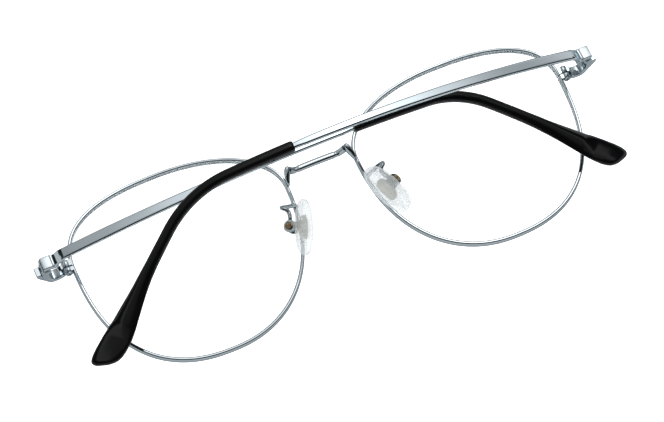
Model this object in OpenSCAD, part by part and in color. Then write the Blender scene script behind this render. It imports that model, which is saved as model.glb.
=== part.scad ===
// Round wire eyeglasses, folded and lying face down.
// +X is the wearer's right, +Y the brow side, +Z points back towards the wearer.
// The origin is on the resting surface, midway between the eyes. Millimetres.

/* [Eyewires] */
// Distance from the middle of the bridge to the middle of each eyewire
eye_x = 35.25; // [33:0.05:38]
// Width of one eyewire's centre line
eye_w = 52.9; // [46:0.1:54]
// Height of the eyewire above its widest line
eye_up = 15.05; // [14:0.05:19]
// Height of the eyewire below its widest line
eye_down = 31.95; // [27:0.05:33]
// Roundness of the upper outer corner, 2 is an ellipse
corner_outer = 2.39; // [2:0.01:3]
// Roundness of the upper corner next to the nose
corner_nose = 2; // [1.9:0.01:3]
// Roundness of the lower outer quarter
cheek_outer = 2.42; // [2:0.01:3]
// Roundness of the lower quarter next to the nose
cheek_nose = 2.18; // [2:0.01:3]
// Radial thickness of the wire
wire_w = 0.9; // [0.8:0.05:1.2]
// Front to back depth of the wire
wire_d = 1.9; // [1.6:0.1:2.4]

/* [Lenses] */
// Radius of the lens's front surface
lens_r = 120; // [90:1:200]
// Thickness of the lens
lens_t = 1.8; // [1.4:0.1:2]

/* [Bridge] */
// Half the length of the bridge bar
bar_half = 5.6; // [5:0.1:6]
// Height of the bar above the middle of the eyewires
bar_y = 11.6; // [11:0.05:12.5]
// Thickness of the bar
bar_t = 1.5; // [1.2:0.1:1.8]
// Rise of the bar's middle over its ends
bar_arch = 0.1; // [0:0.05:0.8]

/* [Hinges] */
// Distance from the middle to each hinge axis
hinge_x = 68; // [67:0.1:70]
// Height of the hinge's middle towards the brow
hinge_y = 9.2; // [8:0.1:10]
// Distance of the hinge axis above the resting surface
hinge_z = 10; // [9:0.1:11]
// Outer radius of the hinge knuckles
knuckle_r = 1.05; // [0.9:0.05:1.1]
// Height of each knuckle
knuckle_h = 0.95; // [0.8:0.05:1]
// Radius of the hinge screw's shank
hinge_pin_r = 0.6; // [0.5:0.05:0.7]
// How much further the left temple folds, so that it lies under the right one
left_extra_fold = 2.7; // [2.5:0.1:3]

/* [Temples] */
// Height of the bar where it leaves the neck
bar_h_front = 2.6; // [2.4:0.1:3]
// Height of the bar where it enters the tip
bar_h_back = 1.75; // [1.5:0.05:2.2]
// Thickness of the bar
temple_t = 1.2; // [1:0.05:1.3]
// Length of the bar from the neck to the tip
bar_len = 71.9; // [70:0.1:73]
// Whole length of the temple from the neck
temple_len = 139.8; // [136:0.5:144]
// Width of the tip's paddle end
paddle_w = 7.2; // [6:0.1:7.5]

/* [Right temple's bends] */
// Slope of the bar where it leaves the neck, folded
right_rise = 19.5; // [14:0.1:22]
// Dip of the bar towards the chin
right_dip = 0.35; // [-1:0.05:1]
// Radius of the bar's outward bow
right_bow_r = 184; // [150:1:300]
// Length of the bar from the neck to the bend over the ear
right_bend_at = 88.2; // [86:0.2:96]
// Angle of the drop behind the ear
right_drop = 38; // [30:0.5:42]
// Length over which the tip bends down
right_bend_len = 18.4; // [10:0.2:20]
// Radius of the tip's inward curl
right_curl_r = 134; // [100:1:250]

/* [Left temple's bends] */
// Slope of the bar where it leaves the neck, folded
left_rise = 14; // [14:0.1:22]
// Dip of the bar towards the chin
left_dip = -0.85; // [-1:0.05:1]
// Radius of the bar's outward bow
left_bow_r = 272; // [150:1:300]
// Length of the bar from the neck to the bend over the ear
left_bend_at = 90.6; // [86:0.2:96]
// Angle of the drop behind the ear
left_drop = 40.5; // [30:0.5:42]
// Length over which the tip bends down
left_bend_len = 15.4; // [10:0.2:20]
// Radius of the tip's inward curl
left_curl_r = 140; // [100:1:250]

/* [Nose pads] */
// Place of the right pad's box
box_at = [12.9, -3.3, 10.4];
// How much higher the right pad stands than the left one
pad_uneven = 1.2; // [0:0.1:1.4]
// Turn of the pad: lean, flare and splay
pad_turn = [11.4, 27.4, 28];
// Length of the silicone pad
pad_len = 13.3; // [12:0.1:15]
// Width of the silicone pad
pad_w = 7.8; // [6:0.1:8]
// Thickness of the silicone pad
pad_t = 2.3; // [2:0.1:2.6]
// Distance from the box to the middle of the pad
pad_gap = 3.1; // [3:0.1:3.5]
// Thickness of the pad arm's wire
arm_t = 1.0; // [0.9:0.05:1.1]

/* [Hidden] */
$fn = 64;

metal = [0.78, 0.8, 0.82];
brass = [0.72, 0.6, 0.4];
black = [0.04, 0.04, 0.045];
clear = [0.85, 0.87, 0.88, 0.5];

// The eyewire is as high above Y = 0 as it is deep below it.
wide_y = (eye_down - eye_up) / 2;
// The eyewire's middle runs in the sphere through the middle of the lens.
wire_r = lens_r - lens_t / 2;
// Running clearance of the hinge pin and the pad's eye
run_gap = 0.04;
// Gap between the faces of neighbouring knuckles
face_gap = 0.06;
// Height of the closing block's screw
lock_y = 9.1;
lock_gap = 0.3;
lock_x = eye_x + eye_w / 2 + 1.3;
lock_z = 4.95;
lock_r = 1;
// Distance of the temple's inner face from the hinge axis
leaf_off = knuckle_r + 0.15;
// How far the temple's butt passes the hinge axis when folded
butt = 0.75;

function unit(v) = v / norm(v);
function clamp01(x) = max(0, min(1, x));
function last(list) = list[len(list) - 1];

// A smooth curve through the points p, with n steps between each two
function spline(p, n) = concat([
    for (i = [0 : len(p) - 2])
        let (a = p[max(i - 1, 0)], b = p[i], c = p[i + 1], d = p[min(i + 2, len(p) - 1)])
        for (k = [0 : n - 1])
            let (t = k / n)
            0.5 * (2 * b + (c - a) * t + (2 * a - 5 * b + 4 * c - d) * t * t
                + (3 * b - a - 3 * c + d) * t * t * t)
], [last(p)]);

// An ellipse-like ring of n points, half sizes a and b, power 2 is an ellipse
function round_section(a, b, n, power = 2) = [
    for (j = [0 : n - 1])
        let (t = 360 * (j + 0.5) / n, c = cos(t), s = sin(t))
        [a * sign(c) * pow(abs(c), 2 / power), b * sign(s) * pow(abs(s), 2 / power)]
];

// A rectangle of height h and thickness w with its corners cut by c
function flat_section(h, w, c) = [
    [h / 2, -w / 2 + c], [h / 2, w / 2 - c], [h / 2 - c, w / 2], [-h / 2 + c, w / 2],
    [-h / 2, w / 2 - c], [-h / 2, -w / 2 + c], [-h / 2 + c, -w / 2], [h / 2 - c, -w / 2]
];

function tangent(path, i) = unit(path[min(i + 1, len(path) - 1)] - path[max(i - 1, 0)]);

// The rings of a bar that follows path; sections[i] is its outline at path[i],
// first along up, then across it; lean[i] slants the outline along the path
function swept(path, sections, up = [0, 1, 0], lean = []) = [
    for (i = [0 : len(path) - 1])
        let (t = tangent(path, i), h = unit(up - (up * t) * t), w = cross(t, h),
             k = len(lean) > 0 ? lean[i] : 0)
        [for (q = sections[i]) path[i] + q[0] * (h + k * t) + q[1] * w]
];

// A closed solid through rings that all have the same number of points
module skin(rings) {
    m = len(rings);
    n = len(rings[0]);
    walls = [
        for (i = [0 : m - 2])
            for (j = [0 : n - 1])
                let (a = i * n + j, b = i * n + (j + 1) % n)
                each [[a, b + n, b], [a, a + n, b + n]]
    ];
    ends = [[for (j = [0 : n - 1]) j], [for (j = [n - 1 : -1 : 0]) (m - 1) * n + j]];
    polyhedron([for (r = rings) each r], concat(walls, ends));
}

// A flat strip in XZ along path, half is its half thickness at each point,
// from y_low up to y_high
module strip(path, half, y_low, y_high) {
    sides = [
        for (i = [0 : len(path) - 1])
            let (t = tangent(path, i))
            [path[i] + half[i] * [-t[1], t[0]], path[i] - half[i] * [-t[1], t[0]]]
    ];
    outline = concat([for (s = sides) s[0]], [for (i = [len(sides) - 1 : -1 : 0]) sides[i][1]]);
    translate([0, y_high, 0])
        rotate([90, 0, 0])
            linear_extrude(height = y_high - y_low)
                polygon(outline);
}

module on_side(side) {
    mirror([side < 0 ? 1 : 0, 0, 0]) children();
}

// ---- Eyewires and lenses ----

// The eyewire's centre line, grown by g. Turn 0 is the temple side and 90 the brow.
function eye_power(c, s) =
    s >= 0 ? (c >= 0 ? corner_outer : corner_nose) : (c >= 0 ? cheek_outer : cheek_nose);
function eye_point(turn, g = 0) =
    let (c = cos(turn), s = sin(turn), p = eye_power(c, s))
    [(eye_w / 2 + g) * sign(c) * pow(abs(c), 2 / p),
     wide_y + ((s >= 0 ? eye_up : eye_down) + g) * sign(s) * pow(abs(s), 2 / p)];
function sphere_z(q) = lens_t / 2 + wire_r - sqrt(wire_r * wire_r - q * q);
// The turn at which the outer upper quarter reaches height y
function turn_at(y) = asin(pow((y - wide_y) / eye_up, corner_outer / 2));

// The wire's section: outward, then front to back, with the groove for the lens
groove_d = 0.38;
groove_h = 0.42;
wire_section = [
    [wire_w / 2, -0.55], [wire_w * 0.36, -wire_d * 0.45], [-0.1, -wire_d / 2],
    [-wire_w / 2, -wire_d * 0.47], [-wire_w / 2, -groove_h], [-wire_w / 2 + groove_d, -groove_h * 0.8],
    [-wire_w / 2 + groove_d, groove_h * 0.8], [-wire_w / 2, groove_h], [-wire_w / 2, wire_d * 0.47],
    [-0.1, wire_d / 2], [wire_w * 0.36, wire_d * 0.45], [wire_w / 2, 0.55]
];
rim_steps = 108;

module rim(side) {
    first = turn_at(lock_y + lock_gap / 2);
    sweep = 360 - first + turn_at(lock_y - lock_gap / 2);
    rings = [
        for (i = [rim_steps : -1 : 0])
            let (
                turn = first + sweep * i / rim_steps,
                p = eye_point(turn),
                t = unit(eye_point(turn + 0.6) - eye_point(turn - 0.6)),
                z = sphere_z(p)
            )
            [for (q = wire_section) [eye_x + p[0] + q[0] * t[1], p[1] - q[0] * t[0], z - q[1]]]
    ];
    color(metal)
        on_side(side)
            skin(rings);
}

module lens_shell(r_front, r_back, g) {
    translate([eye_x, 0, 0])
        intersection() {
            linear_extrude(height = 9)
                polygon([for (turn = [0 : 4 : 356]) eye_point(turn, g)]);
            difference() {
                translate([0, 0, lens_r]) sphere(r = r_front, $fn = 180);
                translate([0, 0, lens_r]) sphere(r = r_back, $fn = 180);
            }
        }
}

module lens(side) {
    bevel = 0.28;
    color(clear)
        on_side(side)
            union() {
                lens_shell(lens_r, lens_r - lens_t, -wire_w / 2 - 0.06);
                lens_shell(wire_r + bevel, wire_r - bevel, -wire_w / 2 + groove_d - 0.1);
            }
}

// ---- Bridge ----

bar_z = 4.1;
module bridge_bar() {
    steps = 14;
    path = [
        for (i = [0 : steps])
            let (x = bar_half * (2 * i / steps - 1))
            [x, bar_y + bar_arch * (1 - pow(x / bar_half, 2)), bar_z]
    ];
    thick = [for (p = path) abs(p[0]) > bar_half - 0.9 ? bar_t * 0.86 : bar_t];
    color(metal)
        skin(swept(path, [for (t = thick) round_section(t / 2, t * 0.54, 14, 2.8)]));
}

// The foot stands on the back of the eyewire. Each row is the height, the middle
// and half width across, and the front and back of the fin there.
foot_rows = [
    [11.9, 7.45, 0.35, 6.2, 7.4], [11.6, 7.45, 0.65, 5.4, 7.7], [11, 7.65, 0.75, 5, 7.7],
    [9.9, 8, 0.7, 4.9, 7.4], [8.9, 8.3, 0.55, 4.8, 6.9], [8.1, 8.45, 0.35, 4.8, 6.4]
];
module bridge_foot(side) {
    fin_path = [for (r = foot_rows) [r[1], r[0], (r[3] + r[4]) / 2]];
    fin = [for (r = foot_rows) flat_section(r[4] - r[3], 2 * r[2], 0.2)];
    arm_path = spline([[bar_half, bar_y, bar_z], [6.3, bar_y, bar_z + 0.5], [7.3, bar_y - 0.2, 6.1]], 3);
    arm = [for (i = [0 : len(arm_path) - 1]) flat_section(1.5, 1.5 + 0.15 * i, 0.3)];
    color(metal)
        on_side(side)
            union() {
                skin([for (i = [0 : len(fin_path) - 1])
                    [for (q = fin[i]) fin_path[i] + [-q[1], 0, q[0]]]]);
                skin(swept(arm_path, arm));
            }
}

// ---- Closing blocks: they clamp the split eyewire round the lens ----

lock_up = 1.6;
lock_down = 1.05;
lock_screw_r = 0.5;
lock_head_r = 0.8;
lock_head_h = 0.45;

module closing_block(side, y_low, y_high, hole_r) {
    height = y_high - y_low;
    color(metal)
        on_side(side)
            translate([lock_x, y_low, lock_z])
                difference() {
                    union() {
                        rotate([-90, 0, 0]) cylinder(r = lock_r, h = height);
                        translate([-1.3, 0, -0.75]) cube([1.3, height, 1.5]);
                    }
                    translate([0, -1, 0]) rotate([-90, 0, 0]) cylinder(r = hole_r, h = height + 2);
                }
}

module closing_block_upper(side) {
    closing_block(side, lock_y + lock_gap / 2, lock_y + lock_gap / 2 + lock_up, lock_screw_r);
}

module closing_block_lower(side) {
    closing_block(side, lock_y - lock_gap / 2 - lock_down, lock_y - lock_gap / 2, lock_screw_r + 0.05);
}

module cross_slot(r, depth) {
    for (turn = [0, 90])
        rotate([0, 0, turn])
            translate([-r, -0.13, -depth])
                cube([2 * r, 0.26, 2 * depth]);
}

// A screw along Z with its head's top at Z = 0 and its end at -length
module screw(r, length, head_r, head_h, crossed) {
    difference() {
        union() {
            translate([0, 0, -length]) cylinder(r = r, h = length);
            translate([0, 0, -head_h]) cylinder(r = head_r, h = head_h);
        }
        if (crossed)
            cross_slot(head_r * 0.72, head_h * 0.5);
        else
            translate([-head_r, -0.15, -head_h * 0.5]) cube([2 * head_r, 0.3, head_h]);
    }
}

module closing_screw(side) {
    bottom = lock_y - lock_gap / 2 - lock_down;
    color(metal)
        on_side(side)
            translate([lock_x, bottom - lock_head_h, lock_z])
                rotate([90, 0, 0])
                    screw(lock_screw_r, lock_head_h + lock_up + lock_down + lock_gap, lock_head_r, lock_head_h, true);
}

// ---- End pieces and hinges ----

lug_h = 2.5;
lug_half = 0.65;
module end_piece(side) {
    lug_back = hinge_z - butt - 0.25;
    path = spline([
        [lock_x + lock_r + 0.1, lock_z - 0.5], [64.9, 3.85], [66.4, 3.6], [67.25, 4],
        [68.35, 5.8], [hinge_x + leaf_off + 0.25, 7.6], [hinge_x + leaf_off + lug_half, lug_back - 0.5],
        [hinge_x + leaf_off + lug_half + 0.02, lug_back]
    ], 5);
    color(metal)
        on_side(side)
            union() {
                strip(path, [for (p = path) lug_half], hinge_y - lug_h / 2, hinge_y + lug_h / 2);
                // Only the upper half of the closing block is brazed to the end piece.
                translate([lock_x + lock_r - 0.25, lock_y + lock_gap / 2, lock_z - 0.6])
                    cube([0.6, lock_up - 0.4, 0.8]);
            }
}

// The three knuckles, from the chin side up: front, temple, front
knuckle_step = knuckle_h + face_gap;
stack_low = hinge_y - 1.5 * knuckle_h - face_gap;

module along_y(x, y, z) {
    translate([x, y, z]) rotate([-90, 0, 0]) children();
}

module front_hinge_leaf(side) {
    leaf_x = hinge_x + 0.1;
    leaf_front = 6.6;
    leaf_w = leaf_off - 0.1 + 0.12;
    stack_h = 3 * knuckle_h + 2 * face_gap;
    color(metal)
        on_side(side)
            difference() {
                union() {
                    translate([leaf_x - 0.4, stack_low, leaf_front])
                        cube([leaf_w + 0.25, stack_h, hinge_z - leaf_off - leaf_front - 0.05]);
                    for (k = [0, 2])
                        translate([0, stack_low + k * knuckle_step, 0]) {
                            along_y(hinge_x, 0, hinge_z) cylinder(r = knuckle_r, h = knuckle_h);
                            translate([leaf_x - 0.4, 0, hinge_z - leaf_off - 0.1])
                                cube([leaf_w + 0.25, knuckle_h, leaf_off - 0.4]);
                        }
                }
                along_y(hinge_x, stack_low - 1, hinge_z) cylinder(r = hinge_pin_r, h = stack_h + 2);
            }
}

hinge_head_r = 0.95;
hinge_head_h = 0.45;
module hinge_screw(side) {
    stack_h = 3 * knuckle_h + 2 * face_gap;
    color(metal)
        on_side(side)
            translate([hinge_x, stack_low + stack_h + hinge_head_h, hinge_z])
                rotate([-90, 0, 0])
                    screw(hinge_pin_r, stack_h + hinge_head_h + 0.15, hinge_head_r, hinge_head_h, false);
}

// A temple's pieces are drawn about the hinge axis, folded, on the right side.
module on_hinge(side) {
    on_side(side)
        translate([hinge_x, 0, hinge_z])
            rotate([0, side < 0 ? -left_extra_fold : 0, 0])
                children();
}

module temple_hinge_leaf(side) {
    leaf_low = 0.35;
    color(metal)
        on_hinge(side)
            difference() {
                union() {
                    along_y(0, stack_low + knuckle_step, 0) cylinder(r = knuckle_r, h = knuckle_h);
                    translate([-leaf_off - 0.1, stack_low + knuckle_step, leaf_low])
                        cube([leaf_off + 0.1, knuckle_h, leaf_off - leaf_low + 0.1]);
                    translate([-3, hinge_y - 1.25, leaf_low])
                        cube([3 - leaf_off, 2.5, leaf_off - leaf_low + 0.1]);
                }
                along_y(0, stack_low, 0) cylinder(r = hinge_pin_r + run_gap, h = 3 * knuckle_step);
            }
}

// ---- Temples ----

// The end block and the scooped neck, from the butt to the start of the bar
neck = spline([
    [butt, 0, 1.83], [-1, 0, 1.83], [-1.95, -0.02, 1.88], [-3, -0.14, 2.8], [-3.85, -0.3, 4]
], 4);
bar_start = [-4.52, -0.4, 4.63];

// The two temples have been bent by hand, so each has its own bends.
right_bends = [right_rise, right_bow_r, right_bend_at, right_drop, right_bend_len, right_curl_r,
    right_dip];
left_bends = [left_rise, left_bow_r, left_bend_at, left_drop, left_bend_len, left_curl_r, left_dip];

// Slope and drop of a temple with bends b at distance s from the start of the bar
function slope_at(s, b) = b[0] - (min(s, b[2]) / b[1] + max(0, s - b[2]) / b[5]) * 180 / PI;
function drop_at(s, b) = b[6] + (b[3] - b[6]) * clamp01((s - b[2]) / b[4]);
function run_at(s, b) =
    let (slope = slope_at(s, b), drop = drop_at(s, b))
    [-cos(slope) * cos(drop), -sin(drop), sin(slope) * cos(drop)];
temple_step = 0.5;
function bar_line(b) = [
    for (s = 0, p = bar_start; s <= temple_len + temple_step;
         p = p + temple_step * run_at(s + temple_step / 2, b), s = s + temple_step) p
];
right_line = bar_line(right_bends);
left_line = bar_line(left_bends);
function line_of(side) = side > 0 ? right_line : left_line;
core_len = 128;

// The section's height and thickness at distance s from the start of the bar
bar_sizes_h = [[-6, 3.1], [-3.2, 3.1], [-3, 2.7], [-0.8, 2.7], [-0.5, bar_h_front], [10, bar_h_front],
    [bar_len - 3, bar_h_back], [bar_len - 1, 1.5], [core_len, 1]];
bar_sizes_t = [[-6, 1.3], [-3.2, 1.3], [-3, 0.95], [-0.8, 1.05], [-0.5, temple_t],
    [bar_len - 1, temple_t], [bar_len, 1.1], [core_len, 0.8]];

function temple_path(side) = [
    for (p = neck) p + [0, hinge_y, 0],
    for (s = [0 : 2 : core_len]) line_of(side)[s / temple_step] + [0, hinge_y, 0]
];
function temple_marks() = [
    for (i = [0 : len(neck) - 1]) -6 + 5.2 * i / (len(neck) - 1),
    for (s = [0 : 2 : core_len]) s
];

module temple(side) {
    marks = temple_marks();
    sections = [for (s = marks) flat_section(lookup(s, bar_sizes_h), lookup(s, bar_sizes_t), 0.16)];
    color(metal)
        on_hinge(side)
            skin(swept(temple_path(side), sections));
}

// Half height and half thickness of the tip at distance s, and how far its middle
// stands towards the brow
tip_h = [[bar_len, 1.15], [bar_len + 0.6, 1.27], [110, 1.3], [115, 1.4], [118, 1.58], [121, 1.85], [124, 2.25],
    [127, 2.7], [130, 3.15], [temple_len - 6, paddle_w / 2 - 0.05], [temple_len - 3.5, paddle_w / 2],
    [temple_len - 2, paddle_w * 0.49], [temple_len - 1, paddle_w * 0.44], [temple_len - 0.5, paddle_w * 0.37],
    [temple_len - 0.2, paddle_w * 0.29], [temple_len, paddle_w * 0.19]];
tip_t = [[bar_len, 1.05], [bar_len + 0.6, 1.25], [95, 1.3], [118, 1.3], [124, 1.2], [130, 1.15],
    [temple_len - 3.5, 1.12], [temple_len - 2, 1.05], [temple_len - 1, 0.93], [temple_len - 0.5, 0.75],
    [temple_len - 0.2, 0.55], [temple_len, 0.3]];
// The left tip is turned up a little more at its end than the right one.
left_tip_lift = 0.35;
tip_mid = [[118, 0], [124, -0.2], [130, -0.38], [132.5, -0.25], [136, 0.15], [temple_len, 0.7]];
tip_marks = [
    bar_len, bar_len + 0.6, for (s = [74 : 3 : 134]) s,
    for (back = [3.5, 2, 1, 0.5, 0.2, 0]) temple_len - back
];
// The tip's end is cut aslant: its brow edge runs on further than its chin edge.
tip_slant = 0.5;
tip_lean = [for (s = tip_marks) tip_slant * clamp01((s - temple_len + 8) / 8)];
tip_points = 14;

function bar_point(s, side) =
    let (line = line_of(side), i = floor(s / temple_step), f = s / temple_step - i)
    line[i] * (1 - f) + line[min(i + 1, len(line) - 1)] * f + [0, hinge_y, 0];

module temple_tip(side) {
    outer = swept(
        [for (s = tip_marks) bar_point(s, side)],
        [for (s = tip_marks)
            [for (q = round_section(lookup(s, tip_h), lookup(s, tip_t), tip_points, 2.6))
                q + [lookup(s, tip_mid) + (side < 0 ? left_tip_lift * clamp01((s - 120) / 12) : 0), 0]]],
        lean = tip_lean);
    hole_marks = [for (s = [core_len + 0.5 : -4 : bar_len + 1]) s, bar_len];
    // The bore for the temple's core, a little larger than the core
    hole = swept(
        [for (i = [len(hole_marks) - 1 : -1 : 0]) bar_point(hole_marks[i], side)],
        [for (i = [len(hole_marks) - 1 : -1 : 0])
            let (s = hole_marks[i])
            round_section(lookup(s, bar_sizes_h) / 2 + 0.12, lookup(s, bar_sizes_t) / 2 + 0.12, tip_points, 6)]);
    color(black)
        on_hinge(side)
            skin(concat([for (i = [len(hole) - 1 : -1 : 0]) hole[i]], outer));
}

// ---- Nose pads ----

arm_points = [
    [8.8, 2.9, 4.3], [9.6, 2.9, 5.8], [11.4, 2.8, 7.6], [12.8, 2.6, 9.0], [12.9, 2.1, 9.7],
    [12.2, 1.4, 9.7], [11.9, 0.6, 9.4], [12.2, -0.7, 9.6], [12.7, -2.05, 10.2]
];
arm_steps = 4;
// The two pads have been bent to slightly different heights.
function pad_shift(side) = [0, side * pad_uneven / 2, 0];
// The arm keeps its root and follows the pad from its first bend on.
function arm_follow(p) = clamp01((p[2] - 5) / 3);

module pad_arm(side) {
    path = spline([for (p = arm_points) p + arm_follow(p) * pad_shift(side)], arm_steps);
    color(metal)
        on_side(side)
            skin(swept(path, [for (p = path) round_section(arm_t / 2, arm_t / 2, 10)], [0.3, 0.5, 0.8]));
}

// Everything on the pad is drawn about the screw's middle: X away from the nose,
// Y up along the pad, Z along the screw.
module at_pad(side) {
    on_side(side) translate(box_at + pad_shift(side)) rotate(pad_turn) children();
}

box_r = 1.45;
box_h = 2.7;
slot_h = 1.1;
slot_end = 1.05;
pad_pin_r = 0.45;
pad_head_r = 0.95;
pad_head_h = 0.4;

module pad_box(side) {
    color(metal)
        at_pad(side)
            difference() {
                cylinder(r = box_r, h = box_h, center = true);
                translate([-3 * box_r + slot_end, -2 * box_r, -slot_h / 2]) cube([3 * box_r, 4 * box_r, slot_h]);
                cylinder(r = pad_pin_r, h = 2 * box_h, center = true);
            }
}

module pad_screw(side) {
    color(brass)
        at_pad(side)
            translate([0, 0, box_h / 2 + pad_head_h])
                screw(pad_pin_r, box_h + pad_head_h, pad_head_r, pad_head_h, true);
}

plate_len = 5.7;
// How far the pad and its plate sit below the post
pad_drop = 0.45;
plate_w = 3.2;
plate_t = 0.5;
eye_t = 0.9;
post_r = 0.8;
flange_r = 1.2;
flange_t = 0.35;

module capsule(length, width, height) {
    linear_extrude(height = height, center = true)
        union() {
            square([width, length - width], center = true);
            for (end = [-1, 1])
                translate([0, end * (length - width) / 2]) circle(d = width);
        }
}

module pad_insert(side) {
    post_from = 0.85;
    color(brass)
        at_pad(side)
            difference() {
                union() {
                    translate([-pad_gap, -pad_drop, 0]) rotate([0, 90, 0]) capsule(plate_len, plate_w, plate_t);
                    translate([-pad_gap, 0, 0]) rotate([0, 90, 0]) cylinder(r = post_r, h = pad_gap - box_r - 0.1);
                    for (x = [pad_gap - 0.65, pad_gap - 1.2])
                        translate([-x, 0, 0]) rotate([0, 90, 0]) cylinder(r = flange_r, h = flange_t);
                    translate([-box_r - 0.4, -0.6, -eye_t / 2]) cube([box_r + 0.4, 1.2, eye_t]);
                    cylinder(r = post_from, h = eye_t, center = true);
                }
                cylinder(r = pad_pin_r + run_gap, h = 3, center = true);
            }
}

// Half the pad's width at y, on its front and back edges. The lower back corner is full.
function pad_edge(y, power) = pad_w / 2 * pow(max(0, 1 - pow(abs(2 * y / pad_len), power)), 1 / power);

module nose_pad(side) {
    rings = 18;
    heights = [for (i = [0 : rings]) -pad_len / 2 * cos(180 * (i + 0.25) / (rings + 0.5))];
    edges = [for (y = heights) [1.12 * pad_edge(y, y < 0 ? 3.4 : 2.2), 0.86 * pad_edge(y, 2.1)]];
    path = [for (i = [0 : rings]) [-pad_gap - 0.35, heights[i] - pad_drop, 0]];
    sections = [
        for (i = [0 : rings])
            let (thick = pad_t / 2 * pow(sin(180 * (i + 0.25) / (rings + 0.5)), 0.6))
            [for (q = round_section((edges[i][0] + edges[i][1]) / 2, thick, 16, 2.3))
                q + [(edges[i][0] - edges[i][1]) / 2, 0]]
    ];
    color(clear)
        at_pad(side)
            skin(swept(path, sections, [0, 0, 1]));
}

rim(1);  // right_rim
rim(-1);  // left_rim
lens(1);  // right_lens
lens(-1);  // left_lens
bridge_bar();
bridge_foot(1);  // right_bridge_foot
bridge_foot(-1);  // left_bridge_foot
closing_block_upper(1);  // right_closing_block_upper
closing_block_upper(-1);  // left_closing_block_upper
closing_block_lower(1);  // right_closing_block_lower
closing_block_lower(-1);  // left_closing_block_lower
closing_screw(1);  // right_closing_screw
closing_screw(-1);  // left_closing_screw
end_piece(1);  // right_end_piece
end_piece(-1);  // left_end_piece
front_hinge_leaf(1);  // right_front_hinge_leaf
front_hinge_leaf(-1);  // left_front_hinge_leaf
hinge_screw(1);  // right_hinge_screw
hinge_screw(-1);  // left_hinge_screw
temple_hinge_leaf(1);  // right_temple_hinge_leaf
temple_hinge_leaf(-1);  // left_temple_hinge_leaf
temple(1);  // right_temple
temple(-1);  // left_temple
temple_tip(1);  // right_temple_tip
temple_tip(-1);  // left_temple_tip
pad_arm(1);  // right_pad_arm
pad_arm(-1);  // left_pad_arm
pad_box(1);  // right_pad_box
pad_box(-1);  // left_pad_box
pad_screw(1);  // right_pad_screw
pad_screw(-1);  // left_pad_screw
pad_insert(1);  // right_pad_insert
pad_insert(-1);  // left_pad_insert
nose_pad(1);  // right_nose_pad
nose_pad(-1);  // left_nose_pad
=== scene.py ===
import math

import bmesh
import bpy
import numpy as np
from mathutils import Matrix, Vector


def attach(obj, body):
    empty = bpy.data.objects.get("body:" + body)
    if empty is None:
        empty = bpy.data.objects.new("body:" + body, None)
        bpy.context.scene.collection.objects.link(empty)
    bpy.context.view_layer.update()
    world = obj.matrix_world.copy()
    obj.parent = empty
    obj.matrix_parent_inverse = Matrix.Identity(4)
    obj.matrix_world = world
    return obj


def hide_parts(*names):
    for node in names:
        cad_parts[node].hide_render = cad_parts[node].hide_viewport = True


# The looks of the round wire eyeglasses: smooth pieces built along the same curves as
# the CAD part, materials, floor, light and camera. Lengths are in millimetres and
# become metres when a mesh is made. Curves are drawn for the right side (+X) and
# mirrored for the left.

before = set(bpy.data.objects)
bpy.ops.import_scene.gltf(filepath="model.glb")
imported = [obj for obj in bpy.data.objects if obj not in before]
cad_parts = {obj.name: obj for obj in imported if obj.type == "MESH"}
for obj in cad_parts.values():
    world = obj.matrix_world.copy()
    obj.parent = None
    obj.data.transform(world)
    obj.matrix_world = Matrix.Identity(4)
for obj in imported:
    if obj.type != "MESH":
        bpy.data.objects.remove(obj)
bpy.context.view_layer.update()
MM = 0.001

# ---- Dimensions shared with the CAD part ----

EYE_X = 35.25
EYE_W = 52.9
EYE_UP = 15.05
EYE_DOWN = 31.95
WIDE_Y = (EYE_DOWN - EYE_UP) / 2
ROUNDNESS = {("up", "out"): 2.39, ("up", "in"): 2.0, ("down", "out"): 2.42, ("down", "in"): 2.18}
WIRE_W = 0.9
WIRE_D = 1.9
LENS_R = 120.0
LENS_T = 1.8
WIRE_R = LENS_R - LENS_T / 2

BAR_HALF = 5.6
BAR_Y = 11.6
BAR_Z = 4.1
BAR_T = 1.5
BAR_ARCH = 0.1

HINGE = np.array([68.0, 9.2, 10.0])
KNUCKLE_R = 1.05
LEAF_OFF = KNUCKLE_R + 0.15
BUTT = 0.75
LEFT_EXTRA_FOLD = 2.7

LOCK_X = EYE_X + EYE_W / 2 + 1.3
LOCK_Y = 9.1
LOCK_Z = 4.95
LOCK_R = 1.0
LOCK_GAP = 0.3

BAR_START = np.array([-4.52, -0.4, 4.63])
BAR_LEN = 71.9
TEMPLE_LEN = 139.8
PADDLE_W = 7.2
# Rise, bow radius, place of the bend, drop, length of the bend, curl radius and dip
BENDS = {1: (19.5, 184.0, 88.2, 38.0, 18.4, 134.0, 0.35),
         -1: (14.0, 272.0, 90.6, 40.5, 15.4, 140.0, -0.85)}

BOX_AT = np.array([12.9, -3.3, 10.4])
PAD_TURN = (11.4, 27.4, 28.0)
PAD_UNEVEN = 1.2
PAD_LEN = 13.3
PAD_W = 7.8
PAD_T = 2.3
PAD_GAP = 3.1
PAD_DROP = 0.45
ARM_T = 1.0

SIDES = {1: "right", -1: "left"}

# ---- Curves and sections ----


def unit(v):
    return v / np.linalg.norm(v)


def clamp01(v):
    return min(1, max(0, v))


def spline(points, steps):
    """A smooth curve through the points, as in the CAD part."""
    p = [np.asarray(q, float) for q in points]
    out = []
    for i in range(len(p) - 1):
        a, b, c, d = p[max(i - 1, 0)], p[i], p[i + 1], p[min(i + 2, len(p) - 1)]
        for k in range(steps):
            t = k / steps
            out.append(0.5 * (2 * b + (c - a) * t + (2 * a - 5 * b + 4 * c - d) * t * t
                              + (3 * b - a - 3 * c + d) * t ** 3))
    out.append(p[-1])
    return np.array(out)


def table(marks, s):
    """The value at s on straight lines between the (place, value) marks."""
    return float(np.interp(s, [m[0] for m in marks], [m[1] for m in marks]))


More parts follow.
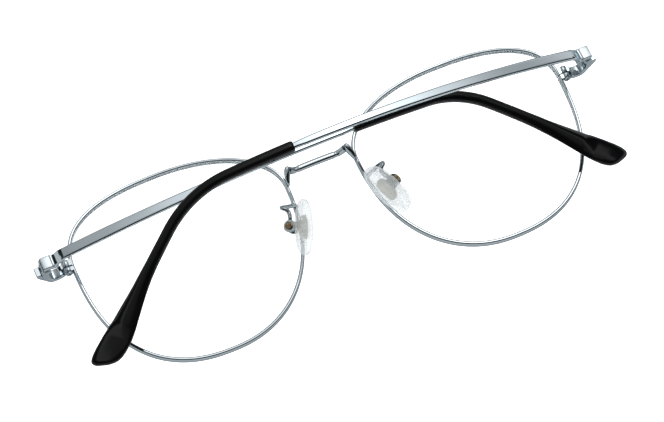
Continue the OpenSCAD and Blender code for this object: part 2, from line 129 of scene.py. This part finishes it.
def oval(a, b, count, power=2.0):
    """A ring of count points, half sizes a and b; power 2 is an ellipse."""
    turn = 2 * math.pi * (np.arange(count) + 0.5) / count
    c, s = np.cos(turn), np.sin(turn)
    first = a * np.sign(c) * np.abs(c) ** (2 / power)
    second = b * np.sign(s) * np.abs(s) ** (2 / power)
    return np.stack([first, second], 1)


def rounded_flat(height, thick, cut):
    """A flat bar's section, crowned a little on its broad faces, with rounded edges."""
    h, w = height / 2, thick / 2
    half = [[h, 0], [h, w - cut]]
    half += [[h - cut + cut * math.cos(a), w - cut + cut * math.sin(a)] for a in (0.4, 0.8, 1.2)]
    half += [[h - cut, w], [0.5 * h, w], [0, w]]
    whole = half + [[-a, b] for a, b in reversed(half[:-1])]
    return np.array(whole + [[a, -b] for a, b in reversed(whole[1:-1])])


def swept(path, sections, up=(0, 1, 0), lean=None):
    """Rings of a bar along path; each section is measured along up, then across."""
    up = np.asarray(up, float)
    rings = []
    for i, p in enumerate(path):
        t = unit(path[min(i + 1, len(path) - 1)] - path[max(i - 1, 0)])
        h = unit(up - up.dot(t) * t)
        w = np.cross(t, h)
        k = lean[i] if lean else 0.0
        rings.append([p + q[0] * (h + k * t) + q[1] * w for q in sections[i]])
    return np.array(rings)


# ---- Meshes ----


def mesh_object(name, points, faces, side=1, sharp=35.0):
    """A mesh object from points in millimetres, mirrored for the left side."""
    points = np.asarray(points, float) * MM
    if side < 0:
        points = points * np.array([-1, 1, 1])
    mesh = bpy.data.meshes.new(name)
    mesh.from_pydata(points.tolist(), [], faces)
    bm = bmesh.new()
    bm.from_mesh(mesh)
    bmesh.ops.recalc_face_normals(bm, faces=bm.faces)
    for face in bm.faces:
        face.smooth = True
    for edge in bm.edges:
        if len(edge.link_faces) == 2 and edge.calc_face_angle() > math.radians(sharp):
            edge.smooth = False
    bm.to_mesh(mesh)
    bm.free()
    obj = bpy.data.objects.new(name, mesh)
    bpy.context.scene.collection.objects.link(obj)
    return obj


def skin(rings):
    """Points and faces of a skin through rings of equal length, capped at both ends."""
    rings = np.asarray(rings)
    m, n = rings.shape[:2]
    faces = []
    for i in range(m - 1):
        for j in range(n):
            a, b = i * n + j, i * n + (j + 1) % n
            faces.append([a, b, b + n, a + n])
    faces.append(list(range(n)))
    faces.append([(m - 1) * n + j for j in reversed(range(n))])
    return rings.reshape(-1, 3), faces


def joined(skins):
    """One point list and one face list from several."""
    points, faces = [], []
    for p, f in skins:
        base = sum(len(q) for q in points)
        points.append(p)
        faces += [[v + base for v in face] for face in f]
    return np.concatenate(points), faces


def place(obj, material, body, node):
    """obj takes the material, rides on the body and stands for the CAD node."""
    obj.data.materials.clear()
    obj.data.materials.append(material)
    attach(obj, body)
    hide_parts(node)
    return obj


# ---- Camera ----

LOOK_RIGHT = Vector((0.91544, -0.40216, 0.01556))
LOOK_DOWN = Vector((-0.36121, -0.83804, -0.40891))
LOOK_AHEAD = Vector((0.17749, 0.36871, -0.91244))
LOOK_FROM = Vector((-110.00669, -226.43415, 561.17264)) * MM
FOCAL = 143.312
SENSOR = 36

camera = bpy.data.objects.new("camera", bpy.data.cameras.new("camera"))
bpy.context.scene.collection.objects.link(camera)
facing = Matrix((LOOK_RIGHT, -LOOK_DOWN, -LOOK_AHEAD)).transposed()
camera.matrix_world = Matrix.Translation(LOOK_FROM) @ facing.to_4x4()
camera.data.sensor_width = SENSOR
camera.data.lens = FOCAL
camera.data.clip_start = 0.01
camera.data.clip_end = 20
bpy.context.scene.camera = camera

# ---- Materials ----


def node_material(name, shades, rough, spots, bump, **sockets):
    """A procedural material: the colour drifts between two shades, the roughness
    between two values, and a fine bump breaks up the reflections. spots holds the
    sizes in millimetres of the colour, roughness and bump patterns."""
    mat = bpy.data.materials.new(name)
    mat.use_nodes = True
    tree = mat.node_tree
    shader = tree.nodes["Principled BSDF"]
    place_of = tree.nodes.new("ShaderNodeTexCoord").outputs["Object"]

    def noise(size, detail):
        n = tree.nodes.new("ShaderNodeTexNoise")
        n.inputs["Scale"].default_value = 1 / (size * MM)
        n.inputs["Detail"].default_value = detail
        tree.links.new(place_of, n.inputs["Vector"])
        return n.outputs["Fac"]

    ramp = tree.nodes.new("ShaderNodeValToRGB")
    ramp.color_ramp.elements[0].position = 0.3
    ramp.color_ramp.elements[0].color = (*shades[0], 1)
    ramp.color_ramp.elements[1].position = 0.7
    ramp.color_ramp.elements[1].color = (*shades[1], 1)
    tree.links.new(noise(spots[0], 3), ramp.inputs["Fac"])
    tree.links.new(ramp.outputs["Color"], shader.inputs["Base Color"])
    span = tree.nodes.new("ShaderNodeMapRange")
    span.inputs["To Min"].default_value = rough[0]
    span.inputs["To Max"].default_value = rough[1]
    tree.links.new(noise(spots[1], 4), span.inputs["Value"])
    tree.links.new(span.outputs["Result"], shader.inputs["Roughness"])
    bumps = tree.nodes.new("ShaderNodeBump")
    bumps.inputs["Strength"].default_value = bump[0]
    bumps.inputs["Distance"].default_value = bump[1] * MM
    tree.links.new(noise(spots[2], 2), bumps.inputs["Height"])
    tree.links.new(bumps.outputs["Normal"], shader.inputs["Normal"])
    for socket, value in sockets.items():
        shader.inputs[socket.replace("_", " ")].default_value = value
    return mat


# The edge tint keeps the metal grey where it is seen at a flat angle.
EDGE_TINT = (0.3, 0.34, 0.37, 1)
silver = node_material("polished_silver", ((0.56, 0.62, 0.65), (0.64, 0.69, 0.72)), (0.03, 0.07),
                       (6, 2, 1.2), (0.04, 0.002), Metallic=1.0, Specular_Tint=EDGE_TINT)
bar_silver = node_material("satin_silver", ((0.66, 0.74, 0.78), (0.71, 0.78, 0.82)), (0.07, 0.12),
                           (9, 2.5, 1.5), (0.04, 0.002), Metallic=1.0, Specular_Tint=EDGE_TINT)
brass = node_material("gilt_screw", ((0.36, 0.26, 0.15), (0.62, 0.5, 0.34)), (0.1, 0.25),
                      (0.8, 0.6, 0.2), (0.25, 0.01), Metallic=1.0)
cream = node_material("nickel_insert", ((0.74, 0.7, 0.6), (0.86, 0.83, 0.75)), (0.22, 0.36),
                      (1.5, 0.7, 0.2), (0.3, 0.01), Metallic=1.0)
black = node_material("black_tip_plastic", ((0.002, 0.002, 0.0022), (0.0035, 0.0035, 0.004)), (0.07, 0.14),
                      (7, 3, 0.5), (0.06, 0.008), IOR=1.5, Specular_IOR_Level=0.25)
silicone = node_material("clear_silicone", ((0.5, 0.55, 0.57), (0.72, 0.76, 0.78)), (0.02, 0.06),
                         (3, 2, 4), (0.02, 0.02), IOR=1.41, Transmission_Weight=0.4, Alpha=0.5)
lens_clear = node_material("coated_lens", ((0.975, 0.985, 0.985), (0.99, 0.995, 0.995)), (0.0, 0.02),
                           (20, 9, 3), (0.02, 0.002), IOR=1.5, Transmission_Weight=1.0, Alpha=0.14)

# ---- Rims and lenses ----


def eye_outline(angle, grow=0.0):
    """The eyewire's centre line, grown outward. Angle 0 is the temple side, 90 the brow."""
    c, s = math.cos(math.radians(angle)), math.sin(math.radians(angle))
    p = ROUNDNESS[("up" if s >= 0 else "down", "out" if c >= 0 else "in")]
    tall = EYE_UP if s >= 0 else EYE_DOWN
    return np.array([(EYE_W / 2 + grow) * math.copysign(abs(c) ** (2 / p), c),
                     WIDE_Y + (tall + grow) * math.copysign(abs(s) ** (2 / p), s)])


def sphere_z(q, radius, centre):
    """Height over the floor of a sphere standing on its lowest point."""
    return centre - math.sqrt(radius * radius - float(q @ q))


def angle_at(y):
    """The angle at which the outer upper quarter reaches height y."""
    return math.degrees(math.asin(((y - WIDE_Y) / EYE_UP) ** (ROUNDNESS[("up", "out")] / 2)))


RIM_STEPS = 288
RIDGE_END = 84
RIDGE_POWER = 0.65
# The lens groove on the inside of the wire, measured outward and front to back
GROOVE = [[-0.2, 0.93], [-0.38, 0.86], [-0.45, 0.7], [-0.45, 0.42], [-0.07, 0.34],
          [-0.07, -0.34], [-0.45, -0.42], [-0.45, -0.7], [-0.38, -0.86], [-0.2, -0.93]]


def make_rim(side):
    """The eyewire, swept round the eye from one side of its split to the other."""
    first = angle_at(LOCK_Y + LOCK_GAP / 2)
    sweep = 360 - first + angle_at(LOCK_Y - LOCK_GAP / 2)
    ridge = [[WIRE_W / 2 * math.cos(a) ** RIDGE_POWER, WIRE_D / 2 * math.sin(a)]
             for a in np.radians(np.linspace(-RIDGE_END, RIDGE_END, 17))]
    section = np.array(ridge + GROOVE)
    rings = []
    for i in range(RIM_STEPS + 1):
        angle = first + sweep * i / RIM_STEPS
        p = eye_outline(angle)
        t = unit(eye_outline(angle + 0.6) - eye_outline(angle - 0.6))
        z = sphere_z(p, WIRE_R, LENS_T / 2 + WIRE_R)
        rings.append([[EYE_X + p[0] + q[0] * t[1], p[1] - q[0] * t[0], z - q[1]] for q in section])
    name = SIDES[side] + "_rim"
    obj = mesh_object(name + "_wire", *skin(rings), side=side, sharp=50)
    return place(obj, silver, "front", name)


# The lens's faces stop short of the wire, and its bevel reaches into the groove.
LENS_SHORT = 0.06
BEVEL_REACH = 0.28
BEVEL_START = 0.6
BEVEL_STEP = 0.05


def make_lens(side):
    """A curved lens between two spheres, with a bevelled edge."""
    face_edge = -WIRE_W / 2 - LENS_SHORT
    bevel_edge = -WIRE_W / 2 + BEVEL_REACH
    shares = [0.02, 0.15, 0.3, 0.45, 0.6, 0.75, 0.88, 0.96, 1.0]
    angles = np.arange(0, 360, 2.5)
    middle = np.array([0, WIDE_Y])

    def ring(share, edge, radius, centre):
        out = []
        for a in angles:
            q = middle + share * (eye_outline(a, edge) - middle)
            out.append([EYE_X + q[0], q[1], sphere_z(q, radius, centre)])
        return out

    rings = [ring(k, face_edge, LENS_R, LENS_R) for k in shares]
    rings.append(ring(1, face_edge + BEVEL_STEP, LENS_R - BEVEL_START, LENS_R))
    rings.append(ring(1, bevel_edge, WIRE_R, LENS_R))
    rings.append(ring(1, face_edge + BEVEL_STEP, LENS_R - LENS_T + BEVEL_START, LENS_R))
    rings += [ring(k, face_edge, LENS_R - LENS_T, LENS_R) for k in reversed(shares)]
    name = SIDES[side] + "_lens"
    obj = mesh_object(name + "_clear", *skin(rings), side=side, sharp=40)
    return place(obj, lens_clear, "front", name)


# ---- Bridge and end pieces ----

# The bar is thinner by this share over its last stretch, after a short slope.
BAR_NECK = 0.14
BAR_NECK_LEN = 1.1
BAR_NECK_SLOPE = 0.35


def make_bridge():
    """The bar between the two bridge feet, arched a little towards the brow."""
    x = np.linspace(-BAR_HALF, BAR_HALF, 57)
    path = np.stack([x, BAR_Y + BAR_ARCH * (1 - (x / BAR_HALF) ** 2), np.full_like(x, BAR_Z)], 1)
    thick = [BAR_T * (1 - BAR_NECK * clamp01((abs(v) - BAR_HALF + BAR_NECK_LEN) / BAR_NECK_SLOPE))
             for v in x]
    sections = [oval(t / 2, t * 0.54, 28, 2.8) for t in thick]
    obj = mesh_object("bridge_bar_rod", *skin(swept(path, sections)))
    return place(obj, silver, "front", "bridge_bar")


# Rows of a foot: its place up the face and across, half its width, its front and back
FOOT = [(11.9, 7.45, 0.35, 6.2, 7.4), (11.6, 7.45, 0.65, 5.4, 7.7), (11, 7.65, 0.75, 5, 7.7),
        (9.9, 8, 0.7, 4.9, 7.4), (8.9, 8.3, 0.55, 4.8, 6.9), (8.1, 8.45, 0.35, 4.8, 6.4)]


def make_foot(side):
    """A tear-shaped foot on the back of the eyewire, and the arm that holds the bar."""
    rows = spline(FOOT, 6)
    fin = []
    for y, x, half, front, back in rows:
        ring = oval((back - front) / 2, half, 24, 2.6)
        fin.append([[x - q[1], y, (front + back) / 2 + q[0]] for q in ring])
    path = spline([[BAR_HALF - 0.3, BAR_Y, BAR_Z], [6.3, BAR_Y, BAR_Z + 0.5],
                   [7.3, BAR_Y - 0.2, 6.1]], 8)
    arm = [oval(0.75, 0.75 + 0.2 * i / (len(path) - 1), 24, 2.6) for i in range(len(path))]
    name = SIDES[side] + "_bridge_foot"
    obj = mesh_object(name + "_fin", *joined([skin(fin), skin(swept(path, arm))]), side=side, sharp=70)
    return place(obj, silver, "front", name)


# The end piece's strip stops short of the temple, narrowing to these sizes at its tip.
LUG_GAP = 0.25
LUG_TIP_H = 1.9
LUG_TIP_T = 0.7
LUG_GROWS = 0.6
LUG_ROUND = 0.45
LUG_CUT = 0.18


def make_end_piece(side):
    """The curved strip from the closing block to the hinge, with a rounded end."""
    back = HINGE[2] - BUTT - LUG_GAP
    leaf_x = HINGE[0] + LEAF_OFF
    path = spline([[LOCK_X + LOCK_R + 0.1, LOCK_Z - 0.5], [64.9, 3.85], [66.4, 3.6], [67.25, 4],
                   [68.35, 5.8], [leaf_x + 0.25, 7.6], [leaf_x + 0.65, back - 0.5],
                   [leaf_x + 0.67, back]], 10)
    path = np.stack([path[:, 0], np.full(len(path), HINGE[1]), path[:, 1]], 1)
    sections = []
    for to_tip in np.linalg.norm(path - path[-1], axis=1):
        k = math.sqrt(max(0.12, 1 - max(0, 1 - to_tip / LUG_ROUND) ** 2))
        sections.append(rounded_flat(LUG_TIP_H + LUG_GROWS * k, LUG_TIP_T + LUG_GROWS * k, LUG_CUT))
    # A short tab joins the strip to the upper closing block.
    tab_x = np.array([LOCK_X + LOCK_R - 0.25, LOCK_X + LOCK_R, LOCK_X + LOCK_R + 0.35])
    tab_y = LOCK_Y + LOCK_GAP / 2 + 0.6
    tab = np.stack([tab_x, np.full(3, tab_y), np.full(3, LOCK_Z - 0.2)], 1)
    pieces = [skin(swept(path, sections)), skin(swept(tab, [rounded_flat(1.2, 0.8, 0.1)] * 3))]
    name = SIDES[side] + "_end_piece"
    obj = mesh_object(name + "_strip", *joined(pieces), side=side, sharp=60)
    return place(obj, silver, "front", name)


# ---- Temples ----


def on_hinge(points, side):
    """Points drawn about the hinge axis, folded, in their place on the right side."""
    a = math.radians(-LEFT_EXTRA_FOLD if side < 0 else 0)
    turn = np.array([[math.cos(a), 0, math.sin(a)], [0, 1, 0], [-math.sin(a), 0, math.cos(a)]])
    return np.asarray(points) @ turn.T + np.array([HINGE[0], 0, HINGE[2]])


LINE_STEP = 0.5


def bar_line(side):
    """Points one LINE_STEP apart along a temple's middle, from where the neck ends."""
    rise, bow, bend, drop, bend_len, curl, dip = BENDS[side]
    line = [BAR_START]
    for i in range(int((TEMPLE_LEN + 1) / LINE_STEP) + 1):
        s = LINE_STEP * (i + 0.5)
        slope = math.radians(rise) - min(s, bend) / bow - max(0, s - bend) / curl
        fall = math.radians(dip + (drop - dip) * clamp01((s - bend) / bend_len))
        run = [-math.cos(slope) * math.cos(fall), -math.sin(fall), math.sin(slope) * math.cos(fall)]
        line.append(line[-1] + LINE_STEP * np.array(run))
    return np.array(line) + np.array([0, HINGE[1], 0])


def bar_point(line, s):
    """The point at distance s along the line."""
    i = min(int(s / LINE_STEP), len(line) - 2)
    f = s / LINE_STEP - i
    return line[i] * (1 - f) + line[i + 1] * f


# Height and thickness by the distance along the bar. Below 0 lie the block at the hinge
# and the neck, and past BAR_LEN the end that runs on inside the tip.
BLOCK_FROM = -6
NECK_LEN = 5.2
BLOCK_CROWN = 0.3
HEIGHTS = [(-6, 3.1), (-3.2, 3.1), (-3, 2.7), (-0.8, 2.7), (-0.5, 2.6), (10, 2.6), (BAR_LEN - 3, 1.75),
           (BAR_LEN - 1, 1.5), (BAR_LEN + 5, 1.4)]
THICKS = [(-6, 1.3), (-3.2, 1.3), (-3, 0.95), (-0.8, 1.05), (-0.5, 1.2), (BAR_LEN - 1, 1.2),
          (BAR_LEN, 1.1), (BAR_LEN + 5, 1.0)]


def make_temple(side):
    """The block at the hinge, the scooped neck and the flat bar, as one sweep."""
    neck = spline([[BUTT, 0, 1.83], [-1, 0, 1.83], [-1.95, -0.02, 1.88], [-3, -0.14, 2.8],
                   [-3.85, -0.3, 4]], 8) + np.array([0, HINGE[1], 0])
    line = bar_line(side)
    marks = list(np.arange(0, BAR_LEN + 5, 1.0))
    path = np.concatenate([neck, [bar_point(line, s) for s in marks]])
    places = [BLOCK_FROM + NECK_LEN * i / (len(neck) - 1) for i in range(len(neck))] + marks
    sections = []
    for s in places:
        # The block thins towards its two ends.
        crown = BLOCK_CROWN * ((s + 4.7) / 1.3) ** 2 if s < -3.3 else 0
        cut = 0.4 if s > -0.6 else 0.2
        sections.append(rounded_flat(table(HEIGHTS, s), table(THICKS, s) - min(crown, 0.35), cut))
    points, faces = skin(swept(path, sections))
    name = SIDES[side] + "_temple"
    obj = mesh_object(name + "_bar", on_hinge(points, side), faces, side=side, sharp=25)
    return place(obj, bar_silver, name, name)


# Half height, half thickness, offset of the middle and roundness by the distance along
TIP_H = [(BAR_LEN, 1.15), (BAR_LEN + 0.6, 1.27), (110, 1.3), (115, 1.4), (118, 1.58), (121, 1.85),
         (124, 2.25), (127, 2.7), (130, 3.15), (TEMPLE_LEN - 6, PADDLE_W / 2 - 0.05),
         (TEMPLE_LEN - 3.5, PADDLE_W / 2), (TEMPLE_LEN - 2, PADDLE_W * 0.49),
         (TEMPLE_LEN - 1, PADDLE_W * 0.44), (TEMPLE_LEN - 0.5, PADDLE_W * 0.37),
         (TEMPLE_LEN - 0.2, PADDLE_W * 0.29), (TEMPLE_LEN, PADDLE_W * 0.19)]
TIP_T = [(BAR_LEN, 1.05), (BAR_LEN + 0.6, 1.25), (95, 1.3), (118, 1.3), (124, 1.25), (129.5, 1.25),
         (131, 1.0), (133, 0.75), (135, 0.9), (TEMPLE_LEN - 3.5, 1.05), (TEMPLE_LEN - 2, 1.02),
         (TEMPLE_LEN - 1, 0.93), (TEMPLE_LEN - 0.5, 0.75), (TEMPLE_LEN - 0.2, 0.55), (TEMPLE_LEN, 0.3)]
TIP_MID = [(118, 0), (124, -0.2), (130, -0.38), (132.5, -0.25), (136, 0.15), (TEMPLE_LEN, 0.7)]
# The section grows a ridge towards the end, which stops at a flatter paddle.
TIP_POWER = [(BAR_LEN, 2.5), (112, 2.3), (124, 1.75), (130, 1.6), (132.5, 3), (136, 3.2),
             (TEMPLE_LEN, 2.6)]
TIP_SLANT = 0.5
SLANT_OVER = 8
LEFT_TIP_LIFT = 0.35
LIFT_FROM = 120
LIFT_OVER = 12


def make_tip(side):
    """The black sleeve over the temple's end, widening to a slanted paddle."""
    line = bar_line(side)
    marks = [BAR_LEN, BAR_LEN + 0.15, BAR_LEN + 0.35, BAR_LEN + 0.6, BAR_LEN + 1.1]
    marks += list(np.arange(74, 128, 1.0)) + list(np.arange(128, 136, 0.4))
    marks += [TEMPLE_LEN - b for b in (3.5, 2.8, 2.2, 1.7, 1.3, 1, 0.75, 0.5, 0.35, 0.2, 0.1, 0)]
    sections = []
    for s in marks:
        lift = LEFT_TIP_LIFT * clamp01((s - LIFT_FROM) / LIFT_OVER) if side < 0 else 0
        half = oval(table(TIP_H, s), table(TIP_T, s), 48, table(TIP_POWER, s))
        sections.append(half + [table(TIP_MID, s) + lift, 0])
    lean = [TIP_SLANT * clamp01((s - TEMPLE_LEN + SLANT_OVER) / SLANT_OVER) for s in marks]
    points, faces = skin(swept([bar_point(line, s) for s in marks], sections, lean=lean))
    name = SIDES[side] + "_temple_tip"
    obj = mesh_object(name + "_cover", on_hinge(points, side), faces, side=side, sharp=60)
    return place(obj, black, SIDES[side] + "_temple", name)


# ---- Nose pads and their arms ----

ARM = [(8.8, 2.9, 4.3), (9.6, 2.9, 5.8), (11.4, 2.8, 7.6), (12.8, 2.6, 9), (12.9, 2.1, 9.7),
       (12.2, 1.4, 9.7), (11.9, 0.6, 9.4), (12.2, -0.7, 9.6), (12.7, -2.05, 10.2)]


# The arm takes up the pad's shift gradually, from this height over this stretch.
SHIFT_FROM = 5
SHIFT_OVER = 3


def pad_shift(side):
    """How far a side's pad stands off the mean of the two, towards the brow or away."""
    return np.array([0, side * PAD_UNEVEN / 2, 0])


def make_arm(side):
    """The thin wire that loops from the back of the eyewire to the pad's box."""
    marks = [np.array(p) + clamp01((p[2] - SHIFT_FROM) / SHIFT_OVER) * pad_shift(side) for p in ARM]
    path = spline(marks, 10)
    rings = swept(path, [oval(ARM_T / 2, ARM_T / 2, 18)] * len(path), up=(0.3, 0.5, 0.8))
    name = SIDES[side] + "_pad_arm"
    obj = mesh_object(name + "_wire", *skin(rings), side=side)
    return place(obj, silver, "front", name)


def at_pad(points, side):
    """Points drawn about the pad screw's middle, in their place on the right side."""
    x, y, z = (math.radians(a) for a in PAD_TURN)
    turn = Matrix.Rotation(z, 3, "Z") @ Matrix.Rotation(y, 3, "Y") @ Matrix.Rotation(x, 3, "X")
    return np.asarray(points) @ np.array(turn).T + BOX_AT + pad_shift(side)


def pad_edge(y, power):
    """Half the pad's width at y for one of its long edges."""
    return PAD_W / 2 * max(0, 1 - abs(2 * y / PAD_LEN) ** power) ** (1 / power)


PAD_STEPS = 48
PAD_BACK = 1.12
PAD_FRONT = 0.86
PAD_DISH = 0.12


def make_pad(side):
    """The silicone pad: wider to the back, blunt below and rounder above."""
    turns = [math.pi * (i + 0.25) / (PAD_STEPS + 0.5) for i in range(PAD_STEPS + 1)]
    path, sections = [], []
    for a in turns:
        y = -PAD_LEN / 2 * math.cos(a)
        back = PAD_BACK * pad_edge(y, 3.4 if y < 0 else 2.2)
        front = PAD_FRONT * pad_edge(y, 2.1)
        half = (back + front) / 2
        ring = oval(half, PAD_T / 2 * math.sin(a) ** 0.6, 32, 2.3)
        # The whole section is bent a little, so one face is dished and the other crowned.
        ring[:, 1] += PAD_DISH * math.sin(a) * (1 - (ring[:, 0] / half) ** 2)
        path.append([-PAD_GAP - 0.35, y - PAD_DROP, 0])
        sections.append(ring + [(back - front) / 2, 0])
    points, faces = skin(swept(np.array(path), sections, up=(0, 0, 1)))
    name = SIDES[side] + "_nose_pad"
    obj = mesh_object(name + "_silicone", at_pad(points, side), faces, side=side, sharp=70)
    place(obj, silicone, SIDES[side] + "_pad", name)
    return obj


SCREW_TOP = 1.75
SCREW_R = 0.95
SHANK_R = 0.45
SCREW_LEN = 3.1
HEAD_H = 0.4
HEAD_DOME = 0.14
SLOT_DEPTH = 0.26
SLOT_HALF = 0.2
SLOT_END = 0.72


def make_pad_screw(side):
    """The screw through the pad's box: a domed head with a cross slot, and its shank."""
    turns = 2 * math.pi * np.arange(72) / 72
    rings = []
    for k in (0.03, 0.08, 0.14, 0.2, 0.28, 0.36, 0.46, 0.56, 0.64, 0.7, 0.78, 0.88, 0.95, 1):
        ring = []
        for a in turns:
            x, y = SCREW_R * k * math.cos(a), SCREW_R * k * math.sin(a)
            slot = SLOT_DEPTH * max(0, 1 - min(abs(x), abs(y)) / SLOT_HALF) if k < SLOT_END else 0
            ring.append([x, y, SCREW_TOP - HEAD_DOME * k ** 4 - slot])
        rings.append(ring)
    for r, below in ((SCREW_R, HEAD_H), (SHANK_R, HEAD_H), (SHANK_R, SCREW_LEN)):
        z = SCREW_TOP - below
        rings.append([[r * math.cos(a), r * math.sin(a), z] for a in turns])
    points, faces = skin(rings)
    name = SIDES[side] + "_pad_screw"
    obj = mesh_object(name + "_slotted", at_pad(points, side), faces, side=side, sharp=40)
    return place(obj, brass, "front", name)


# ---- The small fittings keep their CAD shape, with eased edges ----

FITTINGS = {
    "closing_block_upper": silver,
    "closing_block_lower": silver,
    "closing_screw": silver,
    "front_hinge_leaf": silver,
    "hinge_screw": silver,
    "temple_hinge_leaf": silver,
    "pad_box": silver,
    "pad_insert": cream,
}
EASE = 0.05
EASE_OVER_ANGLE = 35
WELD_REACH = 0.001


def finish_fitting(obj, material):
    """The CAD mesh gets its material, and modifiers that round its edges."""
    obj.data.materials.clear()
    obj.data.materials.append(material)
    weld = obj.modifiers.new("weld", "WELD")
    weld.merge_threshold = WELD_REACH * MM
    bevel = obj.modifiers.new("ease", "BEVEL")
    bevel.width = EASE * MM
    bevel.segments = 2
    bevel.limit_method = "ANGLE"
    bevel.angle_limit = math.radians(EASE_OVER_ANGLE)
    bevel.harden_normals = True


for side in SIDES:
    make_rim(side)
    make_lens(side)
    make_temple(side)
    make_tip(side)
    make_arm(side)
    make_pad(side)
    make_foot(side)
    make_end_piece(side)
    make_pad_screw(side)
    for kind, material in FITTINGS.items():
        finish_fitting(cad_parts[SIDES[side] + "_" + kind], material)
make_bridge()

# ---- Floor and light ----

# In metres: half the floor's side, and its height just under the eyeglasses
FLOOR_HALF = 3.0
FLOOR_Z = -0.0002
corners = [(x * FLOOR_HALF, y * FLOOR_HALF, FLOOR_Z) for x, y in ((-1, -1), (1, -1), (1, 1), (-1, 1))]
floor_mesh = bpy.data.meshes.new("floor")
floor_mesh.from_pydata(corners, [], [(0, 1, 2, 3)])
floor = bpy.data.objects.new("floor", floor_mesh)
bpy.context.scene.collection.objects.link(floor)
floor_paint = node_material("white_floor", ((0.93, 0.93, 0.93), (0.94, 0.94, 0.94)), (0.85, 0.9),
                            (200, 90, 4), (0.02, 0.01), Emission_Color=(1, 1, 1, 1),
                            Emission_Strength=0.9)
# In reflections the floor is dimmer than it looks. Rays that pass through the lenses or
# the silicone see it as bright as it is.
MIRRORED_FLOOR = ((0.93, 0.98, 1.0, 1), 0.62)
paint = floor_paint.node_tree
dim = paint.nodes.new("ShaderNodeEmission")
dim.inputs["Color"].default_value = MIRRORED_FLOOR[0]
dim.inputs["Strength"].default_value = MIRRORED_FLOOR[1]
pick = paint.nodes.new("ShaderNodeMixShader")
rays = paint.nodes.new("ShaderNodeLightPath")
mirrored = paint.nodes.new("ShaderNodeMath")
mirrored.operation = "SUBTRACT"
mirrored.use_clamp = True
paint.links.new(rays.outputs["Is Glossy Ray"], mirrored.inputs[0])
paint.links.new(rays.outputs["Is Transmission Ray"], mirrored.inputs[1])
paint.links.new(mirrored.outputs[0], pick.inputs["Fac"])
paint.links.new(paint.nodes["Principled BSDF"].outputs[0], pick.inputs[1])
paint.links.new(dim.outputs[0], pick.inputs[2])
paint.links.new(pick.outputs[0], paint.nodes["Material Output"].inputs["Surface"])
floor_mesh.materials.append(floor_paint)

# The room is plain white, except in reflections. They see a studio that is brightest
# towards CARD and grey away from it. A dark strip low down and a dark near side draw the
# edges of polished metal.
CARD = unit(np.array([0.25, 0.36, 0.9]))
CARD_TINT = (0.97, 0.99, 1.0)
WHITE = (1.0, 1.0, 1.0)
# Brightness by the cosine of the angle from CARD, and a factor by the sine of the height
CARD_LEVELS = [(0.0, 0.5), (0.35, 0.42), (0.7, 0.33), (0.82, 0.34), (0.894, 0.45), (0.923, 0.55),
               (0.963, 0.9), (0.991, 1.35), (0.9955, 1.7), (1.0, 5.5)]
HEIGHT_LEVELS = [(0.0, 0.02), (0.25, 0.02), (0.33, 0.3), (0.4, 2.2), (0.5, 2.0), (0.64, 1.0), (1.0, 1.0)]
# The near side: where the dark ends and the full light begins, and how much is left there
NEAR_FROM = -0.28
NEAR_TO = 0.12
NEAR_LEFT = 0.03

world = bpy.data.worlds.new("studio")
bpy.context.scene.world = world
world.use_nodes = True
room = world.node_tree
room.nodes.clear()


def shade_ramp(levels, tint, value):
    """The tinted levels at their places from 0 to 1, looked up by the value."""
    above = room.nodes.new("ShaderNodeMath")
    above.operation = "MAXIMUM"
    above.inputs[1].default_value = 0.0
    room.links.new(value, above.inputs[0])
    ramp = room.nodes.new("ShaderNodeValToRGB")
    ramp.color_ramp.interpolation = "EASE"
    for i, (at, level) in enumerate(levels):
        stop = ramp.color_ramp.elements[i] if i < 2 else ramp.color_ramp.elements.new(at)
        stop.position = at
        stop.color = (*(level * part for part in tint), 1)
    room.links.new(above.outputs[0], ramp.inputs["Fac"])
    return ramp.outputs["Color"]


def multiplied(a, b):
    n = room.nodes.new("ShaderNodeMix")
    n.data_type = "RGBA"
    n.blend_type = "MULTIPLY"
    n.inputs["Factor"].default_value = 1.0
    room.links.new(a, n.inputs["A"])
    room.links.new(b, n.inputs["B"])
    return n.outputs["Result"]


toward = room.nodes.new("ShaderNodeTexCoord").outputs["Generated"]
dot = room.nodes.new("ShaderNodeVectorMath")
dot.operation = "DOT_PRODUCT"
dot.inputs[1].default_value = tuple(CARD)
room.links.new(toward, dot.inputs[0])
split = room.nodes.new("ShaderNodeSeparateXYZ")
room.links.new(toward, split.inputs[0])
near_side = room.nodes.new("ShaderNodeMapRange")
near_side.interpolation_type = "SMOOTHSTEP"
near_side.inputs["From Min"].default_value = NEAR_FROM
near_side.inputs["From Max"].default_value = NEAR_TO
near_side.inputs["To Min"].default_value = NEAR_LEFT
near_side.inputs["To Max"].default_value = 1.0
room.links.new(split.outputs["Y"], near_side.inputs["Value"])
pattern = multiplied(shade_ramp(CARD_LEVELS, CARD_TINT, dot.outputs["Value"]),
                     shade_ramp(HEIGHT_LEVELS, WHITE, split.outputs["Z"]))
pattern = multiplied(pattern, near_side.outputs["Result"])

plain = room.nodes.new("ShaderNodeBackground")
plain.inputs["Color"].default_value = (*WHITE, 1)
mirrored_room = room.nodes.new("ShaderNodeBackground")
room.links.new(pattern, mirrored_room.inputs["Color"])
choose = room.nodes.new("ShaderNodeMixShader")
room.links.new(room.nodes.new("ShaderNodeLightPath").outputs["Is Glossy Ray"], choose.inputs["Fac"])
room.links.new(plain.outputs[0], choose.inputs[1])
room.links.new(mirrored_room.outputs[0], choose.inputs[2])
end = room.nodes.new("ShaderNodeOutputWorld")
room.links.new(choose.outputs[0], end.inputs["Surface"])

bpy.context.scene.view_settings.view_transform = "Standard"
